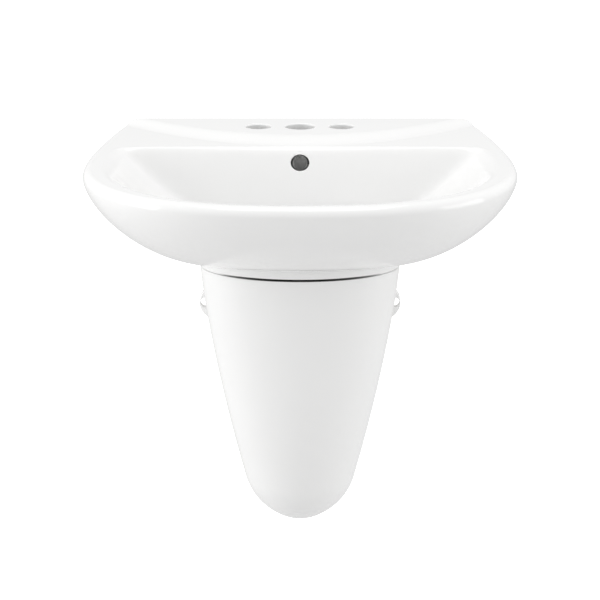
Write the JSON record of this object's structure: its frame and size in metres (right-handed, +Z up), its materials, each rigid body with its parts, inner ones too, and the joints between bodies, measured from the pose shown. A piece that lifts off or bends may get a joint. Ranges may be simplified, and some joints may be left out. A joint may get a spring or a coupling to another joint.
{
  "type": "wall-hung washbasin on a half pedestal",
  "caption": "White ceramic wall-hung washbasin with an oval bowl and a tap ledge, on a tapering half pedestal that hides its push-button waste and trap.",
  "frame": {"origin": "on the basin's flat back face, on the centre line, at the height of the two wall bolts and 70 mm below the tap ledge", "axes": "+Y points out of the back into the wall, -Y is the basin's front, +Z is up and +X is to the right of someone who faces the basin"},
  "size_m": [0.494, 0.507, 0.494],
  "materials": {
    "white_china": "glossy white glaze",
    "chrome_plate": "polished chrome plate on brass",
    "brass": "machined",
    "spring_steel": "drawn wire",
    "zinc_steel": "zinc plated",
    "black_rubber": "matt moulded",
    "white_nylon": "moulded"
  },
  "bodies": {
    "fixed": {"basin": "white_china", "half_pedestal": "white_china", "waste_body": "chrome_plate", "tailpiece": "chrome_plate", "trap_bend": "chrome_plate", "trap_arm": "chrome_plate", "trap_inlet_nut": "chrome_plate", "trap_outlet_nut": "chrome_plate", "wall_escutcheon": "chrome_plate", "waste_locknut": "brass", "cleanout_plug": "brass", "stopper_spring": "spring_steel", "hanger_bolt_left": "zinc_steel", "hanger_bolt_right": "zinc_steel", "bolt_washer_left": "zinc_steel", "bolt_washer_right": "zinc_steel", "bolt_nut_left": "zinc_steel", "bolt_nut_right": "zinc_steel", "flange_gasket": "black_rubber", "seat_gasket": "black_rubber", "cleanout_gasket": "black_rubber", "trap_inlet_washer": "black_rubber", "trap_outlet_washer": "black_rubber", "friction_washer": "white_nylon", "latch_cartridge": "white_nylon", "bolt_bush_left": "white_nylon", "bolt_bush_right": "white_nylon"},
    "stopper": {"stopper_cap": "chrome_plate", "stopper_seal": "black_rubber", "stopper_plunger": "white_nylon"}
  },
  "joints": [
    {"name": "stopper_press", "type": "slide", "parent": "fixed", "child": "stopper", "axis": [0, 0, -1], "range_m": [0, 0.009], "stiffness_N_per_m": 300, "springref_m": -0.004, "deforming": ["stopper_spring"]}
  ]
}
